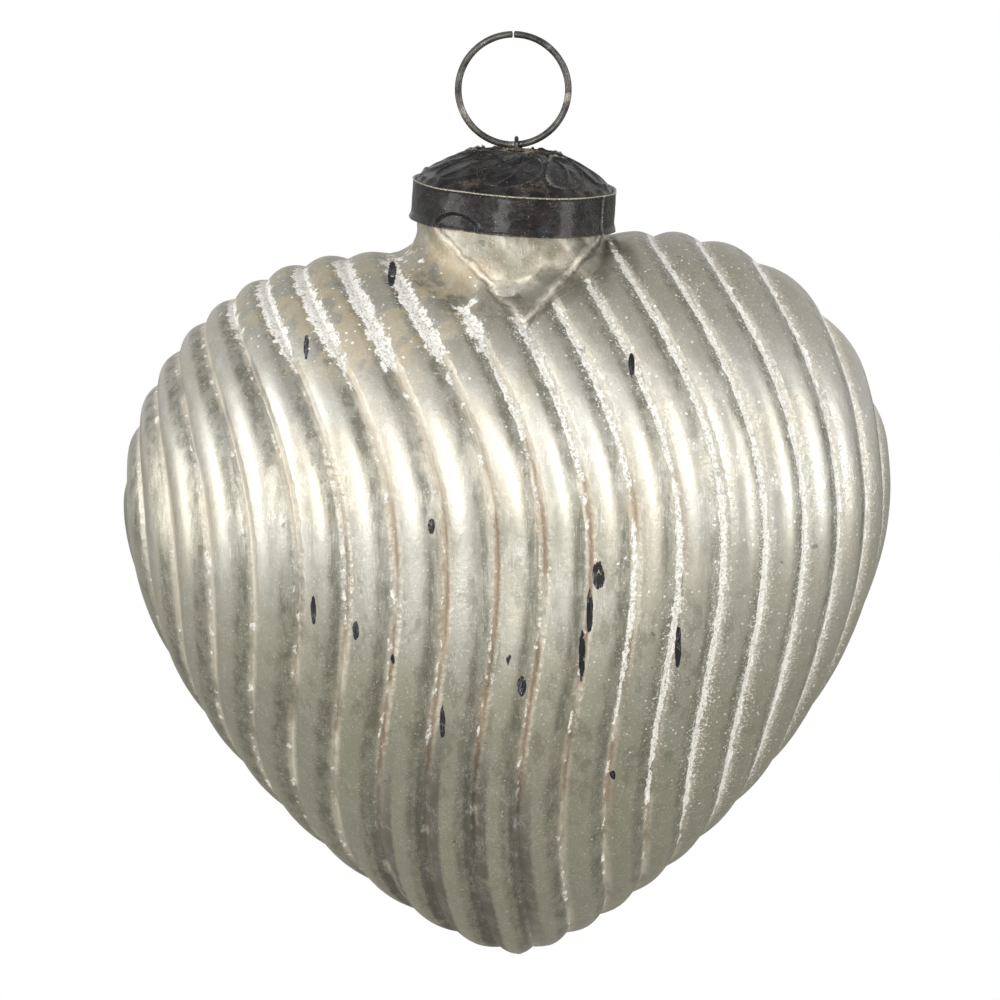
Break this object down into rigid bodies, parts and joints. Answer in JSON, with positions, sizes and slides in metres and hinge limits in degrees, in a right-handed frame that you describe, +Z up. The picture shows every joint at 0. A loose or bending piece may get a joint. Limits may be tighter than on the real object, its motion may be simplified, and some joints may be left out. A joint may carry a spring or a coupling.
{
  "type": "hanging ornament",
  "caption": "Heart-shaped ribbed mercury-glass ornament with an embossed metal cap, spring clip and hanging ring.",
  "frame": {"origin": "inside top of the hanging ring, where the thread or hook bears", "axes": "+Z up, -Y towards the front, +X to the right as seen from the front"},
  "size_m": [0.1199, 0.0698, 0.1481],
  "materials": {
    "ring_steel": "dark oxidised wire with scraped wear",
    "clip_steel": "dark oxidised spring wire",
    "cap_metal": "blackened stamped sheet with worn light edges and brown dust",
    "silvered_glass": "satin antiqued silvering, worn and stained along the grooves"
  },
  "bodies": {
    "ring": {"hanging_ring": "ring_steel"},
    "clip": {"hanger_clip": "clip_steel"},
    "cap": {"cap_dome": "cap_metal", "cap_band": "cap_metal"},
    "glass": {"glass_heart": "silvered_glass"}
  },
  "joints": [
    {"name": "ring_swing", "type": "hinge", "parent": "ring", "child": "clip", "pos_m": [0.0005, 0, -0.01638], "axis": [1, 0, 0], "range_deg": [-80, 80]},
    {"name": "clip_swivel", "type": "hinge", "parent": "clip", "child": "cap", "pos_m": [0.0005, 0, -0.01733], "axis": [0, 0, 1], "continuous": true},
    {"name": "cap_pull", "type": "slide", "parent": "cap", "child": "glass", "axis": [-0.061, 0, -0.9981], "range_m": [0, 0.016]}
  ]
}
